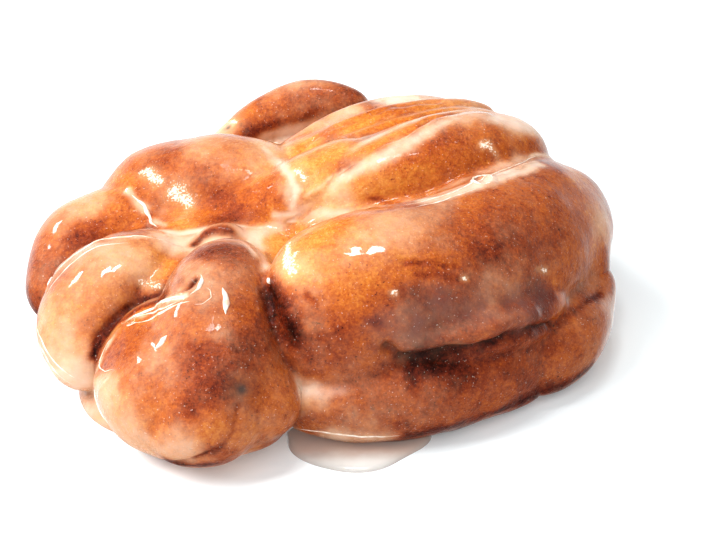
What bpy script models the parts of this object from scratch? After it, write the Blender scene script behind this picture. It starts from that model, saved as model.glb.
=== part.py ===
"""A glazed apple fritter and the small pool of glaze that has run out in front of it.

The fritter is one lump of dough. It is drawn as rolls of dough that lie against each other, which are fused
into one body, softened where they meet, and set down on a flat base. The pool of glaze is a thin flat piece
on the table, just clear of the dough.

+X is the long way across, +Y is away from the side that shows and +Z is up. The base is at z = 0.
"""

import math

import bmesh
import bpy
import numpy as np
from mathutils import Vector, noise

# All sizes are in millimetres.
MM = 0.001
LENGTH = 128.0
WIDTH = 124.0
HEIGHT = 45.0

# How fine the dough is fused, and how much its creases are softened.
VOXEL = 0.9
SOFTENING = 4
DOUGH_TRIANGLES = 11400

# Unevenness of fried dough: how far the surface wanders, and over what distance.
SWELL_HEIGHT = 0.9
SWELL_LENGTH = 15.0
LUMP_HEIGHT = 0.45
LUMP_LENGTH = 6.5

# The pool of glaze on the table.
POOL_THICKNESS = 1.2
POOL_RIM = 0.8
POOL_HALF_LENGTH = 15.0
POOL_FRONT = 12.3
POOL_BACK = 4.5
POOL_PLACE = (7.7, -41.5)
POOL_GAP = 0.35

# Rolls of dough: start, bend and end of the middle line, half widths and half heights at the start and the
# end, and how blunt the ends are.
ROLLS = {
    "base": ((-42, 0, 4), (0, -4, 4), (46, 8, 4), (37, 36), (9, 10), 2.6),
    "right core": ((-10, -4, 17), (20, 4, 22), (48, 8, 16), (32, 30), (16, 18), 2.4),
    "left core": ((-48, -2, 11), (-26, -6, 15), (4, -4, 15), (32, 32), (13, 15), 2.6),
    "middle": ((-34, 2, 19), (-13, 2, 25), (14, 7, 38), (8, 12), (5, 9), 2.4),
    "back left ball": ((-4, 8, 22), (-26, 20, 26), (-49, 17, 12), (15, 15), (14, 14), 2.5),
    "left lobe": ((-26, 3, 18), (-54, 22, 20), (-56, -10, 7), (11, 12), (9, 11), 2.8),
    "lower left lobe": ((-25, -10, 19), (-54, -10, 23), (-47, -35, 7), (10, 13), (9, 12), 2.8),
    "front left lobe": ((-25, -20, 13), (-25, -42, 14), (-25, -61, 10), (21, 21), (15, 14), 2.4),
    "front left neck": ((-17, -13, 21), (-21, -32, 29), (-25, -62, 6), (10, 18), (10, 14), 2.6),
    "collar": ((-26, -11, 26), (-21, -8, 29), (-15, -11, 26), (3, 3), (3, 3), 2.3),
    "front right lobe": ((-10, -26, 24), (26, -42, 24), (53, 20, 18), (18, 20), (18, 20), 3.4),
    "front right belly": ((-12, -33, 20), (4, -38, 20), (18, -34, 17), (12, 14), (16, 17), 2.4),
    "front lip": ((-8, -40, 8), (20, -49, 11), (50, -18, 9), (11, 11), (10, 12), 2.6),
    "front flap": ((11, -38, 24), (34, -44, 22), (50, -20, 18), (6, 6), (6, 7), 2.8),
    "right foot": ((38, -31, 8), (58, -22, 10), (54, 6, 8), (9, 9), (10, 10), 2.4),
    "middle ridge": ((0, -3, 31), (26, 9, 41), (48, 20, 28), (10, 13), (8, 11), 2.6),
    "middle ridge crest": ((-10, -4, 28), (16, 13, 46), (46, 22, 33), (4, 5), (4, 5), 2.4),
    "back ridge": ((-12, 12, 23), (10, 22, 33), (42, 31, 27), (13, 11), (9, 10), 2.8),
    "back ridge strand 1": ((-14, 18, 23), (4, 26, 41), (34, 36, 31), (4, 5), (4, 5), 2.6),
    "back ridge strand 2": ((-11, 13, 25), (7, 19, 43), (38, 32, 33), (4, 5), (4, 5), 2.6),
    "back ridge strand 3": ((-8, 7, 26), (10, 13, 43), (42, 28, 32), (4, 6), (4, 6), 2.6),
    "back loop": ((-27, 31, 17), (-12, 50, 31), (10, 42, 29), (6, 6), (6, 7), 2.8),
    "back loop bed": ((-24, 24, 14), (-8, 34, 17), (10, 36, 17), (12, 12), (8, 9), 2.8),
    "back loop wall": ((-30, 34, 10), (-10, 54, 20), (14, 44, 20), (7, 7), (9, 10), 2.6),
    "back left edge": ((-46, 22, 8), (-34, 44, 9), (-12, 48, 9), (12, 12), (10, 11), 2.6),
    "back edge": ((-12, 44, 9), (10, 53, 10), (30, 38, 9), (12, 13), (11, 12), 2.6),
    "back right edge": ((22, 34, 15), (44, 32, 18), (50, 6, 12), (12, 12), (14, 13), 2.6),
}


def point_of(path, t):
    """Points of the quadratic curve through the middle of a roll."""
    start, bend, end = (np.array(p, float) for p in path)
    t = t[:, None]
    return (1 - t) ** 2 * start + 2 * t * (1 - t) * bend + t * t * end


def direction_of(path, t):
    """Directions of the same curve, one unit long."""
    start, bend, end = (np.array(p, float) for p in path)
    t = t[:, None]
    along = 2 * (1 - t) * (bend - start) + 2 * t * (end - bend)
    return along / np.linalg.norm(along, axis=1)[:, None]


def add_roll(name, start, bend, end, half_widths, half_heights, bluntness):
    """A sphere drawn out along a curve into a roll of dough."""
    ball = bmesh.new()
    bmesh.ops.create_uvsphere(ball, u_segments=40, v_segments=32, radius=1)
    points = np.array([v.co for v in ball.verts])
    height = np.clip(points[:, 2], -1, 1)
    t = (height + 1) / 2
    angle = np.arctan2(points[:, 1], points[:, 0])
    profile = (1 - np.abs(height) ** bluntness) ** (1 / bluntness)
    profile[np.hypot(points[:, 0], points[:, 1]) < 1e-6] = 0

    path = (start, bend, end)
    along = direction_of(path, t)
    side = np.cross(along, (0, 0, 1))
    side /= np.linalg.norm(side, axis=1)[:, None]
    up = np.cross(side, along)
    width = profile * np.interp(t, (0, 1), half_widths)
    rise = profile * np.interp(t, (0, 1), half_heights)
    placed = point_of(path, t) + side * (np.cos(angle) * width)[:, None] + up * (np.sin(angle) * rise)[:, None]
    for vertex, place in zip(ball.verts, placed):
        vertex.co = place * MM
    bmesh.ops.recalc_face_normals(ball, faces=ball.faces)
    mesh = bpy.data.meshes.new(name)
    ball.to_mesh(mesh)
    ball.free()
    roll = bpy.data.objects.new(name, mesh)
    bpy.context.scene.collection.objects.link(roll)
    return roll


def apply_modifier(piece, kind, **settings):
    """One modifier, set and applied."""
    modifier = piece.modifiers.new(kind.title(), kind)
    for key, value in settings.items():
        setattr(modifier, key, value)
    bpy.ops.object.select_all(action="DESELECT")
    bpy.context.view_layer.objects.active = piece
    piece.select_set(True)
    bpy.ops.object.modifier_apply(modifier=modifier.name)


def coordinates(mesh):
    """The mesh's points as an array of rows."""
    values = np.empty(len(mesh.vertices) * 3)
    mesh.vertices.foreach_get("co", values)
    return values.reshape(-1, 3)


def normals(mesh):
    """The direction in which each point of the mesh faces."""
    values = np.empty(len(mesh.vertices) * 3)
    mesh.vertex_normals.foreach_get("vector", values)
    return values.reshape(-1, 3)


def move_to(mesh, points):
    mesh.vertices.foreach_set("co", points.ravel())
    mesh.update()


def unevenness(point):
    """How far the dough stands proud of its smooth form at a place in millimetres."""
    place = Vector(point)
    swell = noise.noise(place / SWELL_LENGTH)
    lump = noise.noise(place / LUMP_LENGTH + Vector((7.3, 1.9, 4.1)))
    return SWELL_HEIGHT * swell + LUMP_HEIGHT * lump


def add_material(piece, name, colour, roughness, coat):
    material = bpy.data.materials.new(name)
    material.use_nodes = True
    shader = material.node_tree.nodes["Principled BSDF"]
    shader.inputs["Base Color"].default_value = (*colour, 1)
    shader.inputs["Roughness"].default_value = roughness
    shader.inputs["Coat Weight"].default_value = coat
    piece.data.materials.clear()
    piece.data.materials.append(material)


def add_dough():
    """The whole fritter as one closed body on a flat base."""
    rolls = [add_roll(name, *sizes) for name, sizes in ROLLS.items()]
    bpy.ops.object.select_all(action="DESELECT")
    for roll in rolls:
        roll.select_set(True)
    bpy.context.view_layer.objects.active = rolls[0]
    bpy.ops.object.join()
    dough = bpy.context.view_layer.objects.active
    dough.name = "fritter"
    apply_modifier(dough, "REMESH", mode="VOXEL", voxel_size=VOXEL * MM)
    apply_modifier(dough, "SMOOTH", factor=0.5, iterations=SOFTENING)

    mesh = dough.data
    points = coordinates(mesh) / MM
    proud = np.array([unevenness(point) for point in points])
    points += normals(mesh) * proud[:, None]

    # The lump is fitted to its length, width and height, with its base flat on the table.
    points[:, 2] = np.maximum(points[:, 2], 0)
    low = points.min(axis=0)
    high = points.max(axis=0)
    middle = (low + high) / 2
    middle[2] = low[2]
    points = (points - middle) * np.array((LENGTH, WIDTH, HEIGHT)) / (high - low)
    move_to(mesh, points * MM)
    apply_modifier(dough, "TRIANGULATE")
    share = DOUGH_TRIANGLES / len(mesh.polygons)
    apply_modifier(dough, "DECIMATE", ratio=share)
    points = coordinates(mesh)
    points[:, 2] = np.maximum(points[:, 2], 0)
    move_to(mesh, points)
    for face in mesh.polygons:
        face.use_smooth = True
    add_material(dough, "crust", (0.42, 0.15, 0.05), 0.35, 0.6)
    return dough


def pool_edge(angle):
    """Distance from the middle of the pool to its edge in one direction, as a share of its half sizes."""
    return 1 + 0.05 * math.sin(3 * angle + 0.6) + 0.03 * math.sin(5 * angle + 2.0)


def add_pool(dough):
    """The flat pool of glaze, with a rounded rim, cut clear of the dough behind it."""
    disc = bmesh.new()
    bmesh.ops.create_cone(disc, cap_ends=True, segments=56, radius1=1, radius2=1, depth=POOL_THICKNESS * MM)
    for vertex in disc.verts:
        angle = math.atan2(vertex.co.y, vertex.co.x)
        out = pool_edge(angle)
        depth = POOL_BACK if vertex.co.y > 0 else POOL_FRONT
        vertex.co.x = (POOL_PLACE[0] + POOL_HALF_LENGTH * out * math.cos(angle)) * MM
        vertex.co.y = (POOL_PLACE[1] + depth * out * math.sin(angle)) * MM
        vertex.co.z += POOL_THICKNESS / 2 * MM
    rim = [edge for edge in disc.edges if min(v.co.z for v in edge.verts) > POOL_THICKNESS / 2 * MM]
    bmesh.ops.bevel(disc, geom=rim, offset=POOL_RIM * MM, segments=3, profile=0.5, affect="EDGES")
    mesh = bpy.data.meshes.new("glaze_puddle")
    disc.to_mesh(mesh)
    disc.free()
    piece = bpy.data.objects.new("glaze_puddle", mesh)
    bpy.context.scene.collection.objects.link(piece)

    cutter = dough.copy()
    cutter.data = dough.data.copy()
    cutter.name = "clearance"
    bpy.context.scene.collection.objects.link(cutter)
    move_to(cutter.data, coordinates(cutter.data) + normals(cutter.data) * POOL_GAP * MM)
    apply_modifier(piece, "BOOLEAN", operation="DIFFERENCE", solver="EXACT", object=cutter)
    bpy.data.objects.remove(cutter)
    keep_largest(piece.data)
    for face in piece.data.polygons:
        face.use_smooth = False
    add_material(piece, "glaze", (0.86, 0.8, 0.74), 0.12, 0.5)
    return piece


def keep_largest(mesh):
    """Drops the scraps that a cut leaves on the far side of the dough."""
    shape = bmesh.new()
    shape.from_mesh(mesh)
    left = set(shape.verts)
    groups = []
    while left:
        group = set()
        queue = [left.pop()]
        while queue:
            vertex = queue.pop()
            group.add(vertex)
            for edge in vertex.link_edges:
                other = edge.other_vert(vertex)
                if other in left:
                    left.discard(other)
                    queue.append(other)
        groups.append(group)
    largest = max(groups, key=len)
    scraps = [vertex for vertex in shape.verts if vertex not in largest]
    bmesh.ops.delete(shape, geom=scraps, context="VERTS")
    shape.to_mesh(mesh)
    shape.free()


for thing in list(bpy.data.objects):
    bpy.data.objects.remove(thing)
fritter = add_dough()
puddle = add_pool(fritter)

group = bpy.data.collections.new("apple_fritter")
bpy.context.scene.collection.children.link(group)
for piece in (fritter, puddle):
    bpy.context.scene.collection.objects.unlink(piece)
    group.objects.link(piece)
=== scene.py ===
"""How the glazed apple fritter looks: fried dough under a wet sugar glaze, and the pool that ran off it."""

import math

import bpy
import numpy as np
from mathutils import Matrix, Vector, noise
from mathutils.bvhtree import BVHTree


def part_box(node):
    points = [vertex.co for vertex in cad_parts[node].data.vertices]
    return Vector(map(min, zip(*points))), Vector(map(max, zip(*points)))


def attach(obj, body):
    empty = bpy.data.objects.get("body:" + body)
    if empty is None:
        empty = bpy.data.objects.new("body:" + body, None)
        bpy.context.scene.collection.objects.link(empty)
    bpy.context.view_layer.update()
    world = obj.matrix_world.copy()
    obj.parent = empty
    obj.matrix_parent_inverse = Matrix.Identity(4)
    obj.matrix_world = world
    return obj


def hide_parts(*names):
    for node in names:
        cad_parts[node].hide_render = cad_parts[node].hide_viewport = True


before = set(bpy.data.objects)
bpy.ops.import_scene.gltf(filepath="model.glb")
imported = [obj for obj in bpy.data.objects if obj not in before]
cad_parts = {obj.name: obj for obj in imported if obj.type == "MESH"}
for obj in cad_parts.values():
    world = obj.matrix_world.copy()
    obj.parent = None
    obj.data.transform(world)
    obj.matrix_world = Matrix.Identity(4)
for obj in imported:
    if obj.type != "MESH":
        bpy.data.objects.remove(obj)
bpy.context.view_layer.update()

# The dough. Yeast dough is cut up, pressed back together in one lump and fried, so it is a heap of rolls
# that have grown into each other. It is modelled as spheres drawn out along curves and fused, with the
# creases, wrinkles and runs of glaze worked into the surface afterwards. All places are in millimetres.
MM = 0.001
ROLL_SEGMENTS = 40
ROLL_RINGS = 32
VOXEL = 0.66
SOFTENING = 4
SWELL_HEIGHT = 0.9
SWELL_LENGTH = 15.0
LUMP_HEIGHT = 0.32
LUMP_LENGTH = 7.5
FLAT_WITHIN = 0.05

# Rolls of dough: start, bend and end of the middle line, half widths and half heights at the start and the
# end, and how blunt the ends are.
ROLLS = {
    "base": ((-42, 0, 4), (0, -4, 4), (46, 8, 4), (37, 36), (9, 10), 2.6),
    "right core": ((-10, -4, 17), (20, 4, 22), (48, 8, 16), (32, 30), (16, 18), 2.4),
    "left core": ((-48, -2, 11), (-26, -6, 15), (4, -4, 15), (32, 32), (13, 15), 2.6),
    "middle": ((-34, 2, 19), (-13, 2, 25), (14, 7, 38), (8, 12), (5, 9), 2.4),
    "back left ball": ((-4, 8, 22), (-26, 20, 26), (-49, 17, 12), (15, 15), (14, 14), 2.5),
    "left lobe": ((-26, 3, 18), (-54, 22, 20), (-56, -10, 7), (11, 12), (9, 11), 2.8),
    "lower left lobe": ((-25, -10, 19), (-54, -10, 23), (-47, -35, 7), (10, 13), (9, 12), 2.8),
    "front left lobe": ((-25, -20, 13), (-25, -42, 14), (-25, -61, 10), (21, 21), (15, 14), 2.4),
    "front left neck": ((-17, -13, 21), (-21, -32, 29), (-25, -62, 6), (10, 18), (10, 14), 2.6),
    "collar": ((-26, -11, 26), (-21, -8, 29), (-15, -11, 26), (3, 3), (3, 3), 2.3),
    "front right lobe": ((-10, -26, 24), (26, -42, 24), (53, 20, 18), (18, 20), (18, 20), 3.4),
    "front right belly": ((-12, -33, 20), (4, -38, 20), (18, -34, 17), (12, 14), (16, 17), 2.4),
    "front lip": ((-8, -40, 8), (20, -49, 11), (50, -18, 9), (11, 11), (10, 12), 2.6),
    "front flap": ((11, -38, 24), (34, -44, 22), (50, -20, 18), (6, 6), (6, 7), 2.8),
    "right foot": ((38, -31, 8), (58, -22, 10), (54, 6, 8), (9, 9), (10, 10), 2.4),
    "middle ridge": ((0, -3, 31), (26, 9, 41), (48, 20, 28), (10, 13), (8, 11), 2.6),
    "middle ridge crest": ((-10, -4, 28), (16, 13, 46), (46, 22, 33), (4, 5), (4, 5), 2.4),
    "back ridge": ((-12, 12, 23), (10, 22, 33), (42, 31, 27), (13, 11), (9, 10), 2.8),
    "back ridge strand 1": ((-14, 18, 23), (4, 26, 41), (34, 36, 31), (4, 5), (4, 5), 2.6),
    "back ridge strand 2": ((-11, 13, 25), (7, 19, 43), (38, 32, 33), (4, 5), (4, 5), 2.6),
    "back ridge strand 3": ((-8, 7, 26), (10, 13, 43), (42, 28, 32), (4, 6), (4, 6), 2.6),
    "back loop": ((-27, 31, 17), (-12, 50, 31), (10, 42, 29), (6, 6), (6, 7), 2.8),
    "back loop bed": ((-24, 24, 14), (-8, 34, 17), (10, 36, 17), (12, 12), (8, 9), 2.8),
    "back loop wall": ((-30, 34, 10), (-10, 54, 20), (14, 44, 20), (7, 7), (9, 10), 2.6),
    "left skirt": ((-47, -22, 0), (-45, -32, 1), (-37, -42, 0), (4.5, 4.5), (6, 5), 2.4),
    "back left edge": ((-46, 22, 8), (-34, 44, 9), (-12, 48, 9), (12, 12), (10, 11), 2.6),
    "back edge": ((-12, 44, 9), (10, 53, 10), (30, 38, 9), (12, 13), (11, 12), 2.6),
    "back right edge": ((22, 34, 15), (44, 32, 18), (50, 6, 12), (12, 12), (14, 13), 2.6),
}


def point_of(path, t):
    """Points of the quadratic curve through the middle of a roll."""
    start, bend, end = (np.array(p, float) for p in path)
    t = t[:, None]
    return (1 - t) ** 2 * start + 2 * t * (1 - t) * bend + t * t * end


def direction_of(path, t):
    """Directions of the same curve, one unit long."""
    start, bend, end = (np.array(p, float) for p in path)
    t = t[:, None]
    along = 2 * (1 - t) * (bend - start) + 2 * t * (end - bend)
    return along / np.linalg.norm(along, axis=1)[:, None]


def coordinates(mesh):
    """The mesh's points as an array of rows, in millimetres."""
    values = np.empty(len(mesh.vertices) * 3)
    mesh.vertices.foreach_get("co", values)
    return values.reshape(-1, 3) / MM


def facing(mesh):
    """The direction in which each point of the mesh faces."""
    values = np.empty(len(mesh.vertices) * 3)
    mesh.vertex_normals.foreach_get("vector", values)
    return values.reshape(-1, 3)


def move_to(mesh, points):
    """Puts the mesh's points at these places."""
    mesh.vertices.foreach_set("co", (points * MM).ravel())
    mesh.update()


def apply_modifier(piece, kind, **settings):
    """One modifier, set and applied."""
    modifier = piece.modifiers.new(kind.title(), kind)
    for key, value in settings.items():
        setattr(modifier, key, value)
    bpy.ops.object.select_all(action="DESELECT")
    bpy.context.view_layer.objects.active = piece
    piece.select_set(True)
    bpy.ops.object.modifier_apply(modifier=modifier.name)


def add_roll(start, bend, end, half_widths, half_heights, bluntness):
    """A sphere drawn out along a curve into a roll of dough."""
    bpy.ops.mesh.primitive_uv_sphere_add(segments=ROLL_SEGMENTS, ring_count=ROLL_RINGS, radius=MM)
    roll = bpy.context.active_object
    ball = coordinates(roll.data)
    height = np.clip(ball[:, 2], -1, 1)
    t = (height + 1) / 2
    angle = np.arctan2(ball[:, 1], ball[:, 0])
    profile = (1 - np.abs(height) ** bluntness) ** (1 / bluntness)
    at_pole = np.hypot(ball[:, 0], ball[:, 1]) < 1e-4
    profile[at_pole] = 0
    path = (start, bend, end)
    along = direction_of(path, t)
    side = np.cross(along, (0, 0, 1))
    side /= np.linalg.norm(side, axis=1)[:, None]
    up = np.cross(side, along)
    width = profile * np.interp(t, (0, 1), half_widths)
    rise = profile * np.interp(t, (0, 1), half_heights)
    places = point_of(path, t)
    places += side * (np.cos(angle) * width)[:, None]
    places += up * (np.sin(angle) * rise)[:, None]
    move_to(roll.data, places)
    return roll


def join_all(pieces, name):
    """Joins pieces into one, and turns its faces outwards, because some spheres come out inside out."""
    bpy.ops.object.select_all(action="DESELECT")
    for piece in pieces:
        piece.select_set(True)
    bpy.context.view_layer.objects.active = pieces[0]
    bpy.ops.object.join()
    joined = bpy.context.view_layer.objects.active
    joined.name = name
    bpy.ops.object.mode_set(mode="EDIT")
    bpy.ops.mesh.select_all(action="SELECT")
    bpy.ops.mesh.normals_make_consistent(inside=False)
    bpy.ops.object.mode_set(mode="OBJECT")
    return joined


def wander(points, length, shift):
    """Smooth chance values from about -1 to 1 that change over this length."""
    offset = Vector(shift)
    return np.array([noise.noise(Vector(point) / length + offset) for point in points])


bpy.ops.object.select_all(action="DESELECT")
dough = join_all([add_roll(*sizes) for sizes in ROLLS.values()], "glazed_dough")
apply_modifier(dough, "REMESH", mode="VOXEL", voxel_size=VOXEL * MM)
apply_modifier(dough, "SMOOTH", factor=0.5, iterations=SOFTENING)
mesh = dough.data
points = coordinates(mesh)
swell = SWELL_HEIGHT * wander(points, SWELL_LENGTH, (0, 0, 0))
lumps = LUMP_HEIGHT * wander(points, LUMP_LENGTH, (7.3, 1.9, 4.1))
points += facing(mesh) * (swell + lumps)[:, None]
points[:, 2] = np.maximum(points[:, 2], 0)
# The lump is brought to the exact size of the plain solid that it replaces.
low, high = (np.array(corner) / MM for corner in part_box("fritter"))
points = low + (points - points.min(axis=0)) * (high - low) / (points.max(axis=0) - points.min(axis=0))
move_to(mesh, points)

# The flat underside lies on the table and needs few faces.
bpy.ops.object.mode_set(mode="EDIT")
bpy.ops.mesh.select_all(action="DESELECT")
bpy.ops.object.mode_set(mode="OBJECT")
for face in mesh.polygons:
    face.select = face.center.z < FLAT_WITHIN * MM and face.normal.z < -0.9
bpy.ops.object.mode_set(mode="EDIT")
bpy.ops.mesh.dissolve_limited(angle_limit=math.radians(5))
bpy.ops.mesh.quads_convert_to_tris()
bpy.ops.object.mode_set(mode="OBJECT")
points = coordinates(mesh)


def edges_of(mesh):
    """The two points of each edge of the mesh."""
    values = np.empty(len(mesh.edges) * 2, int)
    mesh.edges.foreach_get("vertices", values)
    return values.reshape(-1, 2)


def spread(values, edges, rounds):
    """Values averaged over neighbouring points, a number of times over."""
    first, second = edges[:, 0], edges[:, 1]
    count = np.bincount(edges.ravel(), minlength=len(values)).astype(float)
    rows = values.reshape(len(values), -1).astype(float)
    for _ in range(rounds):
        total = np.empty_like(rows)
        for column in range(rows.shape[1]):
            total[:, column] = np.bincount(first, rows[second, column], len(rows))
            total[:, column] += np.bincount(second, rows[first, column], len(rows))
        rows = (rows + total / count[:, None]) / 2
    return rows.reshape(values.shape)


def hollowness(points, rounds):
    """How far the dough round about stands out beyond each point."""
    return ((spread(points, edges, rounds) - points) * facing(mesh)).sum(axis=1)


def near(points, place, reach):
    """1 at a place, falling off smoothly to nothing a little beyond its reach."""
    away = np.linalg.norm(points - np.array(place, float), axis=1) / reach
    return np.exp(-away * away)


def near_line(points, line, reach):
    """1 on a line through places, falling off smoothly to its sides."""
    best = np.full(len(points), 1e9)
    for start, end in zip(line, line[1:]):
        a = np.array(start, float)
        step = np.array(end, float) - a
        t = np.clip((points - a) @ step / (step @ step), 0, 1)
        away = points - a - t[:, None] * step
        best = np.minimum(best, (away * away).sum(axis=1))
    return np.exp(-best / reach ** 2)


def strongest(points, rows):
    """How close each point is to the nearest of some lines, each with its reach and at times a share."""
    marks = np.zeros(len(points))
    for line, reach, *share in rows:
        marks = np.maximum(marks, near_line(points, line, reach) * (share[0] if share else 1))
    return marks


def shakes(points, amount, length, shift, step):
    """A chance move for each point, with other chance values for each of the three directions."""
    shifts = [np.array(shift) + n * np.array(step) for n in range(3)]
    return amount * np.stack([wander(points, length, one) for one in shifts], axis=1)


edges = edges_of(mesh)
shaken = points + shakes(points, 0.9, 5.0, (0, 2.7, 8.1), (11.3, 0, 0))

# Where glaze has run together and lies thick: the valleys between the ridges and the hollow in the middle.
GLAZE_RUNS = {
    "middle": (((-32, -7, 27), (-24, -9, 28), (-15, -7, 28), (-10, -5, 30), (-6, -4, 33)), 3.0),
    "behind the ball": (((-6, -2, 33), (-6, 3, 36), (-9, 12, 34), (-12, 18, 35), (-9, 30, 30)), 2.2),
    "back hollow": (((-14, 33, 27), (-5, 36, 28), (4, 37, 31)), 5.0),
    "between ridges": (((-6, 0, 34), (2, 4, 37), (10, 8, 41), (20, 14, 43), (34, 22, 42)), 2.0),
    "behind the lobe": (((-4, -4, 31), (5, -7, 33), (16, -9, 34), (27, -6, 37), (38, 2, 38),
      (49, 15, 36)), 3.2),
    "left of the ball": (((-42, 12, 27), (-38, 7, 26), (-33, -1, 26)), 1.4),
    "beside the neck": (((-14, -14, 29), (-12, -20, 29), (-11, -26, 30)), 2.6),
}
# Creases that stay open, cut deeper and painted dark as shade.
OPEN_CREASES = {
    "front cleft": (((-9.5, -33, 28.5), (-9, -36, 29), (-7, -41, 27), (-5, -43, 24),
      (-4.5, -44.5, 21)), 2.6),
    "under the left lobe": (((-47, -33, 13.5), (-46.5, -32.5, 16), (-44, -30, 19), (-40, -26, 21),
      (-36, -24, 23), (-32, -22, 24)), 2.6),
    "under the ball": (((-60, -4, 16), (-55, -1, 20), (-49, -2, 22), (-43, -2, 24)), 2.6),
    "inside the back loop": (((-16, 38, 27), (-12, 40, 28), (-6, 42, 29), (0, 43, 30)), 2.0),
}
# Single cuts: the line of the cut, how wide and how deep.
CUTS = {
    "flap edge": (((14, -44, 24), (17, -44, 20.5), (25, -42, 21), (33, -40.5, 21), (39, -37, 22),
      (45, -33, 20.5), (49, -27, 18)), 1.2, 2.0),
    "right groove": (((49, -27, 18), (55, -19, 18), (60, -12, 16)), 1.2, 0.7),
    "front cleft": (((-9.7, -32.5, 29.3), (-9, -35, 29), (-7.5, -39, 27.5), (-6, -42, 25)), 1.8, 1.4),
    "under the left lobe": (((-46, -33, 16), (-45, -31, 18), (-43, -29, 20), (-40, -25.5, 21),
      (-37, -23.5, 22), (-33, -23, 23.5)), 1.0, 0.5),
    "front fold": (((-16, -57, 18), (-17, -59.5, 14), (-18.5, -60.5, 12), (-22, -61, 9.5),
      (-26.5, -60.5, 7), (-29.5, -60, 5)), 1.0, 1.0),
    "wrinkle 1": (((18, -35, 38), (23, -34, 37), (28, -33, 36)), 0.8, 0.35),
    "wrinkle 2": (((20, -37, 36.5), (25, -35.5, 35.5), (29, -35, 34)), 0.8, 0.3),
    "wrinkle 3": (((-2, -39, 33), (-0.5, -40.5, 32)), 0.7, 0.3),
    "between the ridges": (((4, 0, 39), (8, 2, 40), (13, 4.5, 42), (17, 7, 43.5), (24, 13, 44.5),
      (31, 19, 43.5), (38, 22, 42)), 0.8, 0.8),
    "glazed groove": (((-40, -31, 22), (-37, -31, 23), (-34, -30.5, 25), (-32, -31, 27),
      (-30, -34, 30)), 1.5, 0.8),
    "pit by the neck": (((-24.8, -32, 31.7), (-26, -34.8, 31)), 0.8, 1.0),
    "ridge strand 1": (((-6, 17, 35), (1, 20, 37), (8, 22, 39), (16, 26, 40), (26, 30, 40)), 1.1, 0.8),
    "ridge strand 2": (((-3, 9, 35), (4, 12, 38), (12, 16, 41), (22, 21, 42), (32, 26, 41)), 1.0, 0.7),
    "ridge strand 3": (((2, 27, 37), (10, 30, 38), (20, 34, 38)), 1.0, 0.7),
}
# Thin raised lines where glaze has stopped and set: the line, how wide and how high.
RIMS = {
    "lower left lobe, inner": (((-56, -13, 23), (-52, -11, 25.5), (-48, -10, 27.5), (-44, -10, 29),
      (-39, -10, 29.5), (-35, -10, 29), (-30, -11, 27)), 0.8, 0.45),
    "lower left lobe, outer": (((-57, -18, 21), (-55, -15, 23.5), (-51, -12, 27), (-45, -13, 29.5),
      (-40, -13, 30)), 0.8, 0.35),
    "front left lobe": (((-45, -43, 14), (-44, -39, 19), (-40, -35, 22), (-33, -34, 27),
      (-26, -36, 32)), 0.8, 0.45),
    "front left lobe, lower": (((-45, -47, 14), (-42, -47, 18), (-38, -47, 20)), 0.9, 0.35),
    "behind the lobe": (((-3, -11, 36), (6, -14, 39), (16, -17, 40), (27, -12, 40), (38, -3, 40),
      (47, 8, 38)), 0.9, 0.4),
    "middle ridge": (((-3, -2, 34), (6, 1, 39), (17, 6, 43), (26, 12, 44.5),
      (36, 17, 43.5)), 1.0, 0.35),
}

# The join of the ball and the middle is smoothed over.
JOIN = ((-25, 4, 28), (-19, 2, 30), (-12, 2, 34))
JOIN_ROUNDS = 60
WIDE_ROUNDS = 30
CLOSE_ROUNDS = 12
joined = near_line(points, JOIN, 3.5)
points += joined[:, None] * (spread(points, edges, JOIN_ROUNDS) - points)

# Open creases are cut deeper and the glazed valleys are filled, both by how hollow the surface is there.
hollow = hollowness(points, WIDE_ROUNDS)
upward = np.clip(facing(mesh)[:, 2] * 1.6, 0, 1)
opened = strongest(shaken, OPEN_CREASES.values())
filled = strongest(shaken, GLAZE_RUNS.values()) * upward * (1 - opened)
raised = np.clip(hollow, 0, 1.6) * filled * 1.4
raised -= np.clip(hollow, 0, 2) * opened * 0.6
for line, width, depth in CUTS.values():
    raised -= depth * near_line(shaken, line, width)
for line, width, height in RIMS.values():
    raised += height * near_line(points + 0.4 * (shaken - points), line, width)

# The lip of the flap stands proud above its cut.
LIP = ((17, -42.5, 23), (25, -41.8, 24), (33, -40, 24.5), (39, -36.5, 25), (45, -32, 24))
raised += 0.9 * near_line(points, LIP, 1.5)
# Single swellings and dents: the place, how far it reaches, and how high it stands.
SWELLINGS = {
    "fold above the right foot, nearly filled": ((60.5, -4, 15.5), 5.0, 2.4),
    "front left lobe towards the pool": ((-6, -50, 12), 6.0, 2.3),
    "grey hollow on the front lobe": ((-15, -55, 21), 2.0, -0.8),
    "burnt pit 1": ((-21, 40, 27.5), 0.9, -0.5),
    "burnt pit 2": ((-18, 40, 28), 0.9, -0.5),
}
for place, reach, height in SWELLINGS.values():
    raised += height * near(points, place, reach)
# The ring left by a burst bubble.
BUBBLE_PLACE = (34.3, -5.8, 40.8)
BUBBLE_RADIUS = 2.3
bubble = np.linalg.norm(points - np.array(BUBBLE_PLACE), axis=1)
raised += 0.4 * np.exp(-((bubble - BUBBLE_RADIUS) / 0.6) ** 2) - 0.5 * np.exp(-(bubble / 1.4) ** 2)
# Fried skin is finely lumpy where it is bare, and smooth where the glaze is thick.
raised += 0.05 * wander(points, 2.6, (3.1, 5.9, 0.4)) * (1 - 0.8 * filled)
points = points + facing(mesh) * raised[:, None]

# Glaze that ran down the left side stands out a little at the foot.
FOOT_HEIGHT = 5
FOOT_SPREAD = 2.6
FOOT_PLACE = (-46, -36, 0)
flat = points * (1, 1, 0)
foot = np.clip(1 - points[:, 2] / FOOT_HEIGHT, 0, 1) ** 2 * near(flat, FOOT_PLACE, 18)
outward = facing(mesh) * (1, 1, 0)
points += outward * (FOOT_SPREAD * foot)[:, None]
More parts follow.
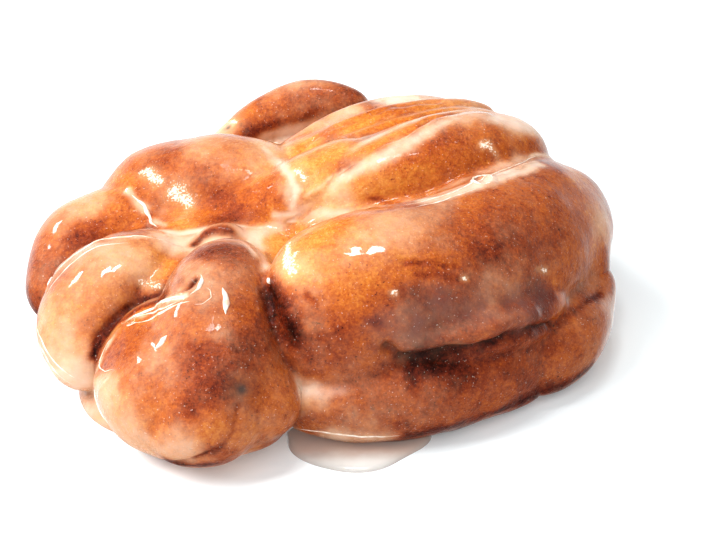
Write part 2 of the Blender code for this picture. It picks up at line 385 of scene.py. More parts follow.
# Under the right foot and beside the pool the dough comes down to the table with no gap under it.
GAP_HEIGHT = 6
GAP_SPREAD = 4.3
flat = points * (1, 1, 0)
under = np.maximum(near(flat, (45, -29, 0), 8), near(flat, (-8, -50, 0), 7))
under *= np.clip(1 - points[:, 2] / GAP_HEIGHT, 0, 1)
points += outward * (GAP_SPREAD * under)[:, None]
points[:, 2] = np.maximum(points[:, 2], 0)
points = np.clip(points, low, high)
move_to(mesh, points)


def shade_smooth(mesh):
    """Makes every face of the mesh smooth."""
    for face in mesh.polygons:
        face.use_smooth = True


shade_smooth(mesh)

# How brown the crust is and how much glaze lies over it, place by place: the place, how far it reaches, how
# brown from 0 for pale gold to 1 for nearly black, and the glaze from 0 for none to 1 for thick cream. In the
# cleft and under the flap the brown is painted shade.
PATCHES = [
    # Left lobe.
    ((-52, 12, 24), 7, 0.3, 0.65),
    ((-58, 9, 21), 7, 0.47, 0.42),
    ((-61, 3, 18), 5, 0.54, 0.16),
    ((-56, 4, 22), 3.5, 0.5, 0.34),
    ((-51, 2, 22), 4.5, 0.8, 0),
    ((-47, 3, 22), 4, 0.6, 0),
    ((-41, 4, 23), 5, 0.36, 0),
    ((-41, 8, 26), 4, 0.52, 0.1),
    ((-59, -3, 17), 5, 0.64, 0.26),
    ((-44, 3, 23), 3.5, 0.42, 0),
    # Back left ball.
    ((-38, 21, 32), 6, 0.45, 0.45),
    ((-35, 16, 33), 6, 0.66, 0),
    ((-43, 16, 28), 5, 0.32, 0.1),
    ((-37, 11, 29), 5, 0.42, 0.2),
    ((-31, 11, 32), 6, 0.45, 0.28),
    ((-25, 9, 33), 6, 0.58, 0.22),
    ((-22, 5, 29), 6, 0.7, 0),
    ((-18, -1, 29), 5, 0.82, 0),
    ((-27, 3, 27), 5.6, 0.16, 0.16),
    ((-30, -2, 27), 4, 0.2, 0.15),
    ((-16, 2, 32), 6, 0.42, 0.12),
    ((-8.5, 0.5, 35), 1.8, 0.3, 0.7),
    ((-11, 1, 34), 5, 0.54, 0),
    ((-12, -2, 31), 3, 0.4, 0.1),
    ((-9, -3, 31), 2.5, 0.36, 0.05),
    ((-8.5, 2, 35.5), 2, 0.3, 0.5),
    ((-13, -3, 29), 2.5, 0.42, 0.1),
    ((-15, 11, 35), 7, 0.3, 0.5),
    ((-21, 12, 35), 6, 0.44, 0.36),
    ((-26, 18, 35.5), 7, 0.28, 0.62),
    # Back loop.
    ((-22, 40, 28), 3.4, 0.14, 0.8),
    ((-19, 44, 29.5), 3, 0.3, 0.35),
    ((-16, 42, 30), 3.5, 0.36, 0.05),
    ((-13, 43, 31), 5, 0.44, 0.32),
    ((-8, 42.5, 32.5), 5, 0.64, 0.1),
    ((-2, 43, 34), 5, 0.66, 0.14),
    ((4, 43, 34), 6, 0.68, 0.12),
    ((-13, 41, 30), 3, 0.64, 0),
    ((-11, 47, 33), 3, 0.35, 0.6),
    ((-6, 46, 35), 3.5, 0.4, 0.8),
    ((0, 46.5, 35.5), 3, 0.45, 0.6),
    # Hollow inside the back loop.
    ((-5, 41, 26), 6, 0.3, 1),
    ((1, 42, 30), 5, 0.5, 0.55),
    ((-11, 40, 25), 5, 0.3, 1),
    ((-16, 38, 27), 3.5, 0.74, 0),
    # Back ridge.
    ((-9, 18, 34), 6, 0.02, 0.8),
    ((-4, 17, 35), 4, 0.1, 0.3),
    ((0, 11, 39), 3.5, 0.06, 0.36),
    ((4, 7, 41), 3, 0.06, 0.25),
    ((-4, 5, 38), 3, 0.04, 0.45),
    ((0, 4, 39), 3, 0.1, 0.15),
    ((9, 5, 42), 3, 0.08, 0.2),
    ((14, 7.5, 43), 3, 0.12, 0.15),
    ((18, 11, 43.5), 3, 0.16, 0.1),
    ((22, 14, 44), 3, 0.2, 0.1),
    ((-2, 26, 36), 3, 0.2, 0.6),
    ((1, 28.5, 36.5), 3, 0.6, 0.32),
    ((6, 28.5, 38), 2.5, 0.2, 0.75),
    ((2, 25, 37), 4, 0.28, 0.7),
    ((5, 28, 38), 4, 0.3, 0.65),
    ((7, 19, 38), 4, 0.1, 0.12),
    ((12, 21, 39), 5, 0.2, 0.03),
    ((17, 18, 41), 5, 0.2, 0),
    ((24, 25, 40), 5, 0.16, 0.1),
    ((18, 33, 39), 4, 0.1, 1),
    ((29, 29, 40), 5, 0.25, 0.4),
    ((35, 28, 39), 5, 0.32, 0.65),
    ((-1, 0, 36), 3, 0.05, 0.35),
    # Middle ridge.
    ((4, -3, 36), 3, 0.08, 0.9),
    ((1, -3, 34.5), 3, 0.1, 0.5),
    ((6, -4, 36), 3.5, 0.1, 0.4),
    ((11, 0.5, 41), 2.5, 0.2, 0.6),
    ((17, 4.8, 43.5), 2.5, 0.22, 0.6),
    ((23, 8.8, 45), 2.5, 0.24, 0.6),
    ((30, 12.5, 45), 3, 0.28, 0.6),
    ((12, -4, 37), 4, 0.14, 0.25),
    ((17, -3, 36), 5, 0.24, 0.04),
    ((22, -2, 38), 5, 0.3, 0),
    ((28, 2, 41), 5, 0.44, 0),
    ((26, 5, 43), 4, 0.62, 0.08),
    ((34, 5, 42), 5, 0.46, 0.08),
    ((38, 9, 42), 4, 0.5, 0.1),
    ((41, 10, 40), 4, 0.46, 0.28),
    ((46.5, 12.5, 37), 3.8, 0.5, 0),
    ((43, 16.5, 41), 4.4, 0.2, 1),
    # Front right lobe.
    ((-7, -26, 36), 5, 0.12, 0.25),
    ((-8, -9, 28), 3, 0.1, 0.25),
    ((-5, -7, 29), 3, 0.1, 0.25),
    ((-9, -13, 28), 3, 0.1, 0.3),
    ((-1, -27, 40), 6, 0.18, 0.12),
    ((3, -24, 41), 4, 0.26, 0),
    ((9, -30, 41), 3.5, 0.14, 0.5),
    ((16, -25.5, 42), 4, 0.3, 0.62),
    ((22, -25, 41), 3.5, 0.38, 0.56),
    ((-3, -35, 36), 5, 0.12, 0.5),
    ((5, -36, 38), 6, 0.32, 0.4),
    ((13, -30, 41), 7, 0.28, 0.56),
    ((19, -27, 41), 7, 0.38, 0.55),
    ((25, -28, 40), 6, 0.56, 0.25),
    ((17, -35, 38), 4, 0.33, 0),
    ((11, -38.5, 35.5), 3, 0.2, 0.05),
    ((23, -34, 37), 5, 0.42, 0),
    ((31, -25, 39), 6, 0.5, 0),
    ((34, -28, 37), 4.5, 0.82, 0.04),
    ((41, -12, 39), 7, 0.48, 0.2),
    ((50, -7, 36), 7, 0.51, 0.05),
    ((45, -18, 35), 8, 0.62, 0.08),
    ((52, -3, 35.5), 4, 0.46, 0.08),
    ((55, -10, 29), 6, 0.49, 0.2),
    ((41, -27, 32), 5, 0.64, 0.2),
    ((39, -31, 29.5), 3, 0.5, 0.5),
    ((29, -35, 33), 4, 0.72, 0.14),
    ((54, -16, 25), 6, 0.48, 0.2),
    ((60, 0, 27), 4, 0.4, 0.65),
    # Front of the right lobe.
    ((7, -40, 34), 6, 0.3, 0),
    ((8, -46.5, 20), 4, 0.46, 0.4),
    ((0, -43, 28.5), 2.5, 0.42, 0.55),
    ((12, -42, 32), 5, 0.62, 0),
    ((3, -44, 28), 6, 0.74, 0),
    ((-1, -40, 32), 5, 0.5, 0.4),
    ((6, -46, 22), 6, 0.62, 0.16),
    ((12, -45, 24), 5, 0.5, 0.14),
    ((13, -46, 17), 5, 0.7, 0.08),
    ((-3, -45, 13.5), 3, 0.34, 0.85),
    ((1, -46, 13.5), 3, 0.4, 0.75),
    ((6, -47.5, 13), 3, 0.54, 0.3),
    ((0, -45, 19), 3, 0.58, 0.15),
    # Flap.
    ((16, -43, 28), 5, 0.66, 0.5),
    ((22, -41, 29), 5, 0.85, 0.3),
    ((29, -38, 29), 5, 0.88, 0.2),
    ((37, -34, 28), 5, 0.66, 0.42),
    ((46, -30, 24), 5, 0.86, 0.1),
    ((27, -42, 24), 2.5, 0.68, 0.36),
    ((37, -38, 24), 2.5, 0.72, 0.2),
    # Under the flap, painted nearly black as shade.
    ((20, -44, 18), 4, 0.94, 0),
    ((25, -42, 19), 5, 0.96, 0),
    ((31, -41, 17), 5, 0.84, 0),
    ((38, -37, 18), 6, 0.8, 0),
    ((47, -29, 15), 5, 0.64, 0.12),
    # Front lip.
    ((6, -49, 13), 6, 0.66, 0.22),
    ((12, -49, 13), 6, 0.6, 0.38),
    ((23, -47, 13), 6, 0.6, 0.2),
    ((33, -42, 12), 6, 0.62, 0.14),
    ((44, -35, 9), 6, 0.66, 0.02),
    ((16, -49, 7), 5, 0.72, 0.1),
    ((10, -50, 9), 4, 0.48, 0.52),
    ((4, -49, 3), 4, 0.4, 0.9),
    ((12, -49, 3), 4, 0.4, 0.9),
    # Right foot.
    ((57, -19, 17), 5, 0.62, 0.22),
    ((59, -21, 11), 5, 0.48, 0.15),
    ((53, -28, 13), 5, 0.6, 0.14),
    ((51, -29, 7), 5, 0.48, 0.2),
    # Cleft, painted dark as shade.
    ((-9, -33, 31), 2.5, 0.84, 0),
    ((-12, -32.5, 30), 3, 0.52, 0.24),
    ((-7, -38, 30), 3.8, 0.93, 0),
    ((-5, -42, 28), 3.8, 0.92, 0),
    ((-4, -44, 24), 3, 0.72, 0.1),
    # Neck.
    ((-21, -25, 34), 4.4, 0.85, 0.08),
    ((-16, -26, 34), 4, 0.64, 0.12),
    ((-24, -29, 33), 3, 0.45, 0.5),
    ((-19, -32, 33), 5, 0.52, 0.46),
    ((-13, -31, 31), 5, 0.54, 0.2),
    ((-15, -39, 30), 5, 0.52, 0),
    ((-21, -39, 32), 4, 0.52, 0.46),
    ((-19, -46, 29), 4, 0.52, 0.5),
    # Front left lobe.
    ((-14, -47, 27), 5, 0.82, 0.08),
    ((-10, -42, 26), 5, 0.74, 0.12),
    ((-9, -48, 21), 5, 0.52, 0.15),
    ((-7, -51, 15), 6, 0.42, 0.18),
    ((-25, -44, 30), 5, 0.58, 0.2),
    ((-32, -44, 26), 5, 0.52, 0.38),
    ((-38, -42, 23), 4, 0.52, 0.03),
    ((-42, -40, 20), 3, 0.56, 0.08),
    ((-23, -51, 26), 5, 0.78, 0),
    ((-21, -54, 24), 4, 0.76, 0.04),
    ((-29, -52, 23), 5, 0.57, 0.36),
    ((-32, -49, 24), 3.5, 0.44, 0.52),
    ((-35, -53, 20), 5, 0.5, 0.3),
    ((-38, -55, 16), 4, 0.36, 0.6),
    ((-32, -57, 17), 5, 0.38, 0.2),
    ((-24, -58, 19.5), 3.4, 0.84, 0.1),
    ((-21, -61, 16), 4, 0.34, 0.24),
    ((-14, -59, 13), 4.5, 0.34, 0.28),
    ((-11, -55, 19), 3.5, 0.5, 0.05),
    ((-38, -55, 9), 6, 0.3, 0.7),
    ((-43, -48, 14), 5, 0.32, 0.8),
    ((-27, -61, 11), 5, 0.42, 0.72),
    ((-19, -61, 9), 4, 0.68, 0.15),
    # Lower left lobe.
    ((-48, -22, 26), 6, 0.3, 0.44),
    ((-41, -18, 28), 6, 0.24, 0.7),
    ((-36, -17, 27), 4, 0.12, 0.6),
    ((-32, -16, 26), 4, 0.15, 0.12),
    ((-53, -24, 22), 6, 0.34, 0.46),
    ((-53, -31, 17), 6, 0.35, 0.65),
    ((-43, -26, 23), 5, 0.32, 0.4),
    ((-47, -30, 20), 2, 0.46, 0.3),
    ((-43, -27.5, 21), 2.2, 0.6, 0.12),
    ((-40, -24.5, 23), 2.2, 0.5, 0.15),
    ((-37, -22.5, 22.5), 2.4, 0.55, 0.1),
    ((-33, -21.5, 24), 2, 0.5, 0.1),
    ((-31, -28, 28), 3.5, 0.72, 0.16),
    ((-29, -31, 30.5), 3, 0.6, 0.32),
    ((-38, -21, 24), 2.5, 0.34, 0.3),
    ((-41, -23, 24.5), 3, 0.3, 0.35),
    ((-57, -24, 18), 4, 0.4, 0.7),
    ((-50, -34, 10), 4, 0.1, 1),
    ((-46.5, -35, 10.5), 2.5, 0.42, 0.7),
    # Left skirt.
    ((-51, -26, 3), 5, 0.48, 0.6),
    ((-48, -35, 3), 5, 0.46, 0.78),
    ((-42, -43, 3), 5, 0.42, 0.78),
    # Middle.
    ((-31, -8, 27), 4, 0.2, 1),
    ((-24, -10, 28), 4, 0.2, 1),
    ((-15, -7, 28), 5, 0.15, 1),
    ((-9, -5, 30), 3, 0.2, 1),
]
# Dark lines, mostly painted shade in the creases and folds, under the flap and at the foot by the table, and
# a few dark marks of the crust: the line, how wide, and how brown.
DARK_AND_SHADE_LINES = [
    (CUTS["flap edge"][0][1:], 1.1, 1.0),
    (CUTS["right groove"][0], 1.0, 0.8),
    (((11, -4.5, 35), (16, -6, 35)), 0.8, 0.6),
    (((2, -1, 37), *CUTS["between the ridges"][0][1:]), 0.45, 0.5),
    (((-46.4, -33.4, 14.5), (-44.8, -31.6, 18), (-42.6, -29.8, 20), (-39.6, -26.3, 21),
      (-36.6, -24.4, 22), (-33.6, -24.2, 23), (-31.2, -26.2, 25)), 1.1, 0.88),
    (((-44, -32.5, 16.5), (-41.5, -30, 20), (-38.5, -29.8, 22.5), (-36, -29, 24), (-33, -28.8, 25.3),
      (-31, -31, 27)), 1.0, 0.8),
    (((20, -43, 18.5), (25, -43, 18), (30, -42, 18)), 1.8, 0.93),
    (((12, -21, 41), (20, -18, 41), (27, -14, 41), (33, -9, 40.5), (38, -3, 39.5),
      (44, 3, 38.5)), 0.6, 0.7),
    (((-30, -59, 5.5), (-26, -60, 5), (-20, -60, 5), (-14, -60, 4.5), (-9, -57, 4)), 1.6, 0.9),
    (((19, -47, 4), (23, -46.5, 4), (29, -44.5, 4), (36, -40.5, 4), (42, -35.5, 4), (48, -31, 4),
      (54, -27.5, 4), (58, -24, 5)), 1.7, 0.88),
    (((-26, -10, 27.5), (-25, -8.5, 28.5), (-23, -8.2, 30), (-20.5, -8.2, 30.3), (-18.5, -9, 30),
      (-16.8, -10.5, 29)), 1.4, 0.82),
    (CUTS["pit by the neck"][0], 0.9, 0.88),
    (((-9, -33, 30.2), (-8.4, -35, 30), (-6.8, -39, 28.8), (-5, -42, 27.3),
      (-4.3, -44, 24.8)), 1.6, 0.96),
    (((-17, 37, 27), (-13, 40, 28), (-6, 42, 29), (0, 43, 31)), 1.3, 0.76),
    (CUTS["front fold"][0], 0.7, 0.72),
    (((11.8, -43, 29), (12.6, -43, 28)), 1.0, 0.9),
    (((24, -40.5, 32.5), (26.5, -40, 32)), 1.3, 0.9),
    (((39, -34, 28), (43, -32, 27.5)), 1.6, 0.88),
    (((46.5, -27, 24), (49, -24.5, 23.5)), 1.5, 0.88),
    (((33.6, -5.9, 40.8), (35, -5.7, 40.8)), 0.8, 0.66),
    (CUTS["wrinkle 1"][0], 0.8, 0.62),
    (CUTS["wrinkle 2"][0], 0.8, 0.66),
    (CUTS["wrinkle 3"][0], 0.8, 0.62),
]
# Pale bands where the glaze has drawn together, and a painted highlight along the lip of the flap: the line,
# how wide, and how thick the glaze is.
PALE_LINES = [
    (((-34, -4, 27), (-27, -5, 27), (-20, -5, 28), (-16, -4.7, 29)), 1.5, 1),
    (((-16, -4.7, 29), (-12, -5.2, 28.7), (-9, -5.5, 28.3), (-6, -4.5, 29), (-3.5, -4, 30),
      (-1, -4, 31)), 0.8, 1),
    (((-6, -4, 32.5), (-5, -1, 35), (-6.5, 4, 37), (-9, 13, 34.5), (-12, 17, 35.5)), 1.7, 0.9),
    (((-4, -5, 32), (2, -3, 36), (8, -0.5, 39.5), (13, 1.5, 42), (18, 3.5, 43.5), (25, 9, 45),
      (32, 15, 44.5), (40, 18, 42)), 2.4, 0.7),
    (((-6, -10, 32), (0, -13, 36), (8, -16, 39), (17, -15, 40)), 1.3, 0.6),
    (((17, -15, 40), (23, -11, 40), (30, -7.5, 40.7), (34, -5.8, 40.8), (40, -0.5, 40)), 1.7, 0.85),
    (((38, 2, 39), (44, 7, 38), (50, 15, 34.5)), 1.1, 0.8),
    # The white band in the groove under the lower left lobe: thick glaze with painted highlight streaks.
    (((-40, -32, 22), (-37, -32, 23.5), (-34, -31.5, 25), (-32, -32, 27), (-30, -35, 29.5),
      (-27, -37, 31.5)), 1.2, 1),
    (((-24, -18, 32.5), (-20, -18, 33.5), (-16, -19, 33), (-13, -23, 32)), 1.6, 1),
    (((-13, -9, 28), (-12, -12, 28), (-11.5, -20, 31), (-10.5, -25, 30.5)), 2.0, 0.9),
    (((22, -15, 41.3), (28, -12, 41), (33, -9, 41), (38, -4.5, 40), (43, 0.5, 39),
      (47, 4.5, 38)), 2.1, 0.92),
    (((-9.5, -3.2, 30), (-7, -4, 30.2), (-4.5, -4, 31.2)), 1.3, 0.85),
    (((-8, 25, 33), (-3, 25, 35), (1, 27, 36.5), (5, 29, 38), (11, 32, 38.5), (18, 34, 39),
      (26, 35, 38.5)), 1.3, 0.6),
    (((-2, 13, 36), (4, 17, 38), (10, 19, 40), (18, 24, 41)), 0.8, 0.55),
    # A painted highlight along the lip of the flap.
    (((17, -42.6, 22.6), (25, -41.8, 23), (33, -40, 23.3), (39, -36.6, 24)), 0.6, 0.45),
]
# Places where the glaze is so thin that the crust is bare, with less coat and a smoother surface, and where
# glints of light on its grain are painted into the colour.
BARE_AND_GLINTS = [
    (((-38, 14, 31), (-35, 11, 30.5)), 1.9),
    (((-31, 8, 30), (-28.5, 6, 28.5)), 2.4),
    (((-6.5, -26, 37), (-6, -30, 37), (-5, -34, 36)), 1.7),
    (((-21, 42, 28.5), (-19.5, 41, 29)), 1.3),
    (((-37, -20.5, 24), (-33, -21, 24.5)), 1.0),
    (((15, -40, 34), (15.5, -40, 34)), 0.8),
    (((45, -24, 30), (47, -22, 29)), 0.9),
    (((29.5, -34, 34), (31, -34, 34)), 0.6),
    (((-4.5, 4, 37.5), (-3, 2, 37)), 1.0),
    (((34, 6, 42.5), (36, 8, 42), (38, 5, 40)), 0.8),
]
# Places where the glaze has soaked in and the crust is dull.
DULL = [
    ((-22, 3, 29), 4),
    ((-15, 2, 32), 5),
    ((-19, 10, 34.5), 6),
    ((-14, 5, 34), 4),
    ((15, 1.5, 42), 3),
    ((19, 2.5, 43), 3),
    ((24, 4, 43), 3.5),
    ((0.5, 45, 35), 3),
    ((55, -8, 31), 6),
    ((54, -15, 27), 5),
    ((-25.6, -33, 31.5), 1.8),
    ((-15, -54.5, 20.5), 2.6),
    ((-51, 2, 22), 3.5),
    ((-47, 3, 22), 3),
    ((-16, 39, 28), 3),
    ((3, -24.5, 41), 4),
    ((17, 12.5, 43.5), 4),
    ((17, 19, 41), 3.5),
    ((47, 13, 37), 3.5),
    ((-4, 17, 35), 4),
    ((-22, -45, 29.5), 2.5),
    ((-18, -44.5, 30.5), 2),
    ((-10, -31, 30), 2.5),
    ((-9, -35, 29), 2.5),
    ((-7, -39, 28), 2.5),
    ((-5, -43, 26), 2.5),
    ((28, -42, 17), 6),
    ((40, -36, 17), 6),
]
# Places next to the hollow in the middle where the glaze has drained off and the gold crust shows.
DRAINED = [
    ((-9, -2, 31.5), 2.4),
    ((-12, -2.5, 30), 2.0),
    ((-8, -9, 28), 2.6),
    ((-5, -7, 29), 2.2),
    ((-9, -13, 28), 2.2),
    ((47, 13, 37), 3.5),
    ((44, 11, 39), 2.5),
    ((31, 0, 38.5), 2.2),
    ((35, 4, 39), 2.2),
    ((39.5, 7, 39.5), 2.2),
    ((3, -25, 41), 3.5),
    ((-5, 17, 35), 3),
    ((-51, 2, 22), 3),
    ((-47, 3, 22), 3),
    ((-12, -54, 19), 2.5),
]
# Places where the glaze is so thick or so far run down that it is nearly white, and two painted highlights on
# ridge crests.
MILKY_AND_HIGHLIGHTS = [
    (((-58, -29, 10), (-55, -34, 7), (-50, -38, 5)), 3.5, 0.7),
    (((-49, -34, 1), (-46, -39, 1), (-41, -45, 1)), 2.0, 0.3),
    (((-47, -45, 9), (-44, -50, 6)), 3.0, 0.6),
    (((-4.5, -45, 15), (-1, -46, 14.6), (4, -46.8, 14)), 1.4, 0.42),
    # Painted highlights on the crest of the middle ridge at its far end and on the back ridge.
    (((38, 17, 43.5), (42, 17, 42), (45, 17, 40)), 1.6, 0.5),
    (((13, 32.5, 39), (18, 34, 39.5), (25, 35, 39)), 2.2, 0.6),
    (((19, -14.5, 40), (25, -12, 41), (29, -8.5, 40.8), (34, -5.8, 40.8), (40, -0.5, 40)), 1.4, 0.5),
    (((6, -1.5, 38.5), (12, 1, 41.5), (18, 4, 43.5), (25, 9.5, 45), (31, 13, 45)), 1.4, 0.22),
]
# Places where the fried dough has gone a greyish purple.
DUSKY = [
    ((15, -43, 28), 3.5),
    ((20, -42, 28), 4.5),
    ((26, -39, 30), 4.5),
    ((33, -37, 28), 5),
    ((41, -33, 26), 4.5),
    ((47, -27, 25), 3),
]
# The grey hollow on the front lobe and the burnt pits: the place, how far it reaches, and how dark.
PITS = [
    ((-15, -54.3, 20.5), 3.2, 0.56),
    ((-15, -54.3, 20.2), 1.7, 1.15),
    ((-21, 40, 27.5), 0.7, 1),
    ((-18, 40, 28), 0.7, 1),
    ((-17, 38.7, 27.4), 0.7, 1),
]
# The strands on top, which are kept out of the painted hollow shade and stay golden.
STRANDS = ((2, 0, 38), (8, 3, 41), (14, 6, 43), (21, 11, 44.5), (30, 17, 44))
# The edge of the front at the table on the right, darkened as painted shade.
SHADED_FRONT_EDGE = ((16, -49, 0), (30, -45, 0), (44, -33, 0), (58, -24, 0))


def add_attribute(mesh, name, values):
    """Values from 0 to 1 that are kept on the points of the mesh for its material."""
    layer = mesh.attributes.new(name, "FLOAT", "POINT")
    layer.data.foreach_set("value", np.clip(values, 0, 1).astype(np.float32))


shaken = points + shakes(points, 1.6, 6.0, (0, 4.2, 1.3), (7.7, 0, 0))
shaken += shakes(points, 0.7, 2.2, (5.5, 0, 3.3), (0, 9.1, 0))
# Away from the named patches the crust goes from gold to red brown in clouds, and its glaze from thin to
# thick in others.
CLOUD_WEIGHT = 0.2
cloud = wander(points, 17.0, (2.2, 9.4, 6.1)) + 0.5 * wander(points, 7.0, (8.8, 0.3, 5.2))
brown_sum = CLOUD_WEIGHT * np.clip(0.48 + 0.42 * cloud, 0.08, 0.85)
film = wander(points, 14.0, (6.4, 3.5, 9.9)) + 0.5 * wander(points, 5.5, (1.4, 7.5, 2.9))
glaze_sum = CLOUD_WEIGHT * np.clip(0.32 + 0.5 * film, 0.02, 0.85)
weight_sum = np.full(len(points), CLOUD_WEIGHT)
for place, reach, browned, glazed in PATCHES:
    weight = near(shaken, place, reach) ** 1.5
    brown_sum += weight * browned
    glaze_sum += weight * glazed
    weight_sum += weight
brown = brown_sum / weight_sum
glaze = glaze_sum / weight_sum
glaze = np.maximum(glaze, filled * 0.76)
for place, reach in DRAINED:
    glaze *= 1 - 0.75 * near(points, place, reach)
# Painted shade along the dark crease lines, where the glaze is thinned.
dark_and_shade = np.zeros(len(points))
for line, width, depth in DARK_AND_SHADE_LINES:
    share = near_line(shaken * 0.25 + points * 0.75, line, width)
    brown += share * (np.maximum(depth, brown) - brown)
    dark_and_shade = np.maximum(dark_and_shade, share)
glaze *= 1 - 0.95 * dark_and_shade
# Hollows are painted browner as shade and hold more glaze, and the open creases are painted nearly black as
# shade and left bare.
hollow = hollowness(points, CLOSE_ROUNDS)
golden = near_line(points, STRANDS, 4)
brown += np.clip(hollow, 0, 0.8) * 0.35 * (1 - filled) * (1 - golden)
deep_crease_shade = strongest(shaken, [(line, reach * 1.35) for line, reach in OPEN_CREASES.values()])
deep_crease_shade *= np.clip(hollow * 3.0, 0, 1)
brown += deep_crease_shade * (np.maximum(0.84, brown) - brown)
glaze *= 1 - 0.9 * deep_crease_shade
glaze += np.clip(hollow - 0.1, 0, 1) * 0.25 * upward * (1 - dark_and_shade) * (1 - deep_crease_shade)
rim = strongest(points + 0.4 * (shaken - points), [(line, width) for line, width, _ in RIMS.values()])
glaze = np.maximum(glaze, 0.75 * rim)
glaze = np.maximum(glaze, strongest(points + 0.6 * (shaken - points), PALE_LINES))
# The foot, where the glaze drains to, is paler on the left, and in front on the right it is painted dark as
# shade where it meets the table.
glaze = np.maximum(glaze, 0.9 * foot)
low_front_shade = near_line(points * (1, 1, 0), SHADED_FRONT_EDGE, 9)
low_front_shade *= np.clip(1 - points[:, 2] / 4, 0, 1)
brown += low_front_shade * (np.maximum(0.9, brown) - brown)
glaze *= 1 - 0.8 * low_front_shade
# The glaze is wet where it faces up, and dull in the creases and where it has soaked in.
wet = np.clip((facing(mesh)[:, 2] + 0.4) * 2.5, 0, 1) * (1 - 0.9 * np.maximum(deep_crease_shade, dark_and_shade))
for place, reach in DULL:
    wet *= 1 - 0.95 * near(points, place, reach)
add_attribute(mesh, "brown", brown)
add_attribute(mesh, "glaze", glaze)
add_attribute(mesh, "wet", wet)
add_attribute(mesh, "bare", strongest(shaken, BARE_AND_GLINTS))
add_attribute(mesh, "milk", strongest(shaken, MILKY_AND_HIGHLIGHTS))
dusk = np.max([near(shaken, place, reach) for place, reach in DUSKY], axis=0)
add_attribute(mesh, "dusk", dusk)
pit = np.max([share * near(points, place, reach) for place, reach, share in PITS], axis=0)
add_attribute(mesh, "pit", pit)


def fill_sockets(made, sockets):
    """Sets the named or numbered sockets of a node, or links them."""
    for name, value in sockets.items():
        socket = made.inputs[int(name[1:])] if name[0] == "n" and name[1:].isdigit() else made.inputs[name]
        if isinstance(value, Amount):
            value.tree.links.new(value.socket, socket)
        elif socket.type == "RGBA":
            socket.default_value = (*value, 1)
        else:
            socket.default_value = value


class Amount:
    """A socket of a material, which can be reckoned with like a number."""

    def __init__(self, tree, socket=None):
        self.tree = tree
        self.socket = socket

    def node(self, kind, settings, output=None, **sockets):
        """Adds a node: its settings, then its values and links. Gives its first output, or the one named."""
        made = self.tree.nodes.new(kind)
        for key, value in settings.items():
            if key == "stops":
                while len(made.color_ramp.elements) < len(value):
                    made.color_ramp.elements.new(0.5)
                for stop, (place, colour) in zip(made.color_ramp.elements, value):
                    stop.position = place
                    stop.color = (*colour, 1)
            else:
                setattr(made, key, value)
        fill_sockets(made, sockets)
        if output is None:
            return Amount(self.tree, next(one for one in made.outputs if one.enabled))
        return Amount(self.tree, made.outputs[output])

    def reckon(self, operation, first, second):
        """One step of arithmetic."""
        return self.node("ShaderNodeMath", {"operation": operation}, n0=first, n1=second)

    def __add__(self, other):
        return self.reckon("ADD", self, other)

    __radd__ = __add__

    def __sub__(self, other):
        return self.reckon("SUBTRACT", self, other)

    def __rsub__(self, other):
        return self.reckon("SUBTRACT", other, self)

    def __mul__(self, other):
        return self.reckon("MULTIPLY", self, other)

    __rmul__ = __mul__


def start_material(piece, name):
    """A new material on a piece: its shader, and its object coordinates to reckon from."""
    material = bpy.data.materials.new(name)
    material.use_nodes = True
    piece.data.materials.clear()
    piece.data.materials.append(material)
    tree = material.node_tree
    return tree.nodes["Principled BSDF"], Amount(tree).node("ShaderNodeTexCoord", {}, "Object")


def stored(place, name):
    """The values of one attribute of the mesh."""
    return place.node("ShaderNodeAttribute", {"attribute_name": name}, "Fac")


def clouds(place, millimetres, detail, roughness=0.5):
    """Noise from 0 to 1 with patches of about this size."""
    scale = 1 / (millimetres * MM)
    return place.node("ShaderNodeTexNoise", {}, Vector=place, Scale=scale, Detail=detail, Roughness=roughness)


def step_up(value, low, high):
    """0 below the low value, 1 above the high one, smooth between."""
    settings = {"interpolation_type": "SMOOTHSTEP"}
    return value.node("ShaderNodeMapRange", settings, n0=value, n1=low, n2=high, n3=0.0, n4=1.0)


def blend(share, first, second):
    """One colour over another, by a share from 0 to 1."""
    return share.node("ShaderNodeMix", {"data_type": "RGBA"}, 2, n0=share, n6=first, n7=second)


# The crust goes from pale gold to nearly black; the dark end also paints the shade in creases and under the
# flap.
CRUST_COLOURS = [
    (0.0, (0.64, 0.29, 0.055)),
    (0.2, (0.54, 0.175, 0.022)),
    (0.4, (0.4, 0.085, 0.009)),
    (0.6, (0.24, 0.036, 0.006)),
    (0.8, (0.1, 0.011, 0.003)),
    (1.0, (0.016, 0.002, 0.001)),
]
# A thin film of glaze lets the crust's red through; a thick one is pale cream.
FILM_COLOURS = [
    (0.0, (0.54, 0.22, 0.1)),
    (0.5, (0.68, 0.42, 0.25)),
    (1.0, (0.74, 0.53, 0.4)),
]
DUSK_COLOUR = (0.19, 0.069, 0.051)
MILK_AND_HIGHLIGHT_COLOUR = (0.84, 0.72, 0.62)
SUGAR_AND_GLINT_COLOUR = (0.95, 0.86, 0.74)
BARE_GOLD_SHEEN_COLOUR = (0.72, 0.45, 0.22)
PIT_COLOUR = (0.05, 0.036, 0.03)

shader, place = start_material(dough, "glazed_crust")
brown = stored(place, "brown")
glaze = stored(place, "glaze")
wet = stored(place, "wet")
bare = stored(place, "bare")
milk = stored(place, "milk")
dusk = stored(place, "dusk")
pit = stored(place, "pit")
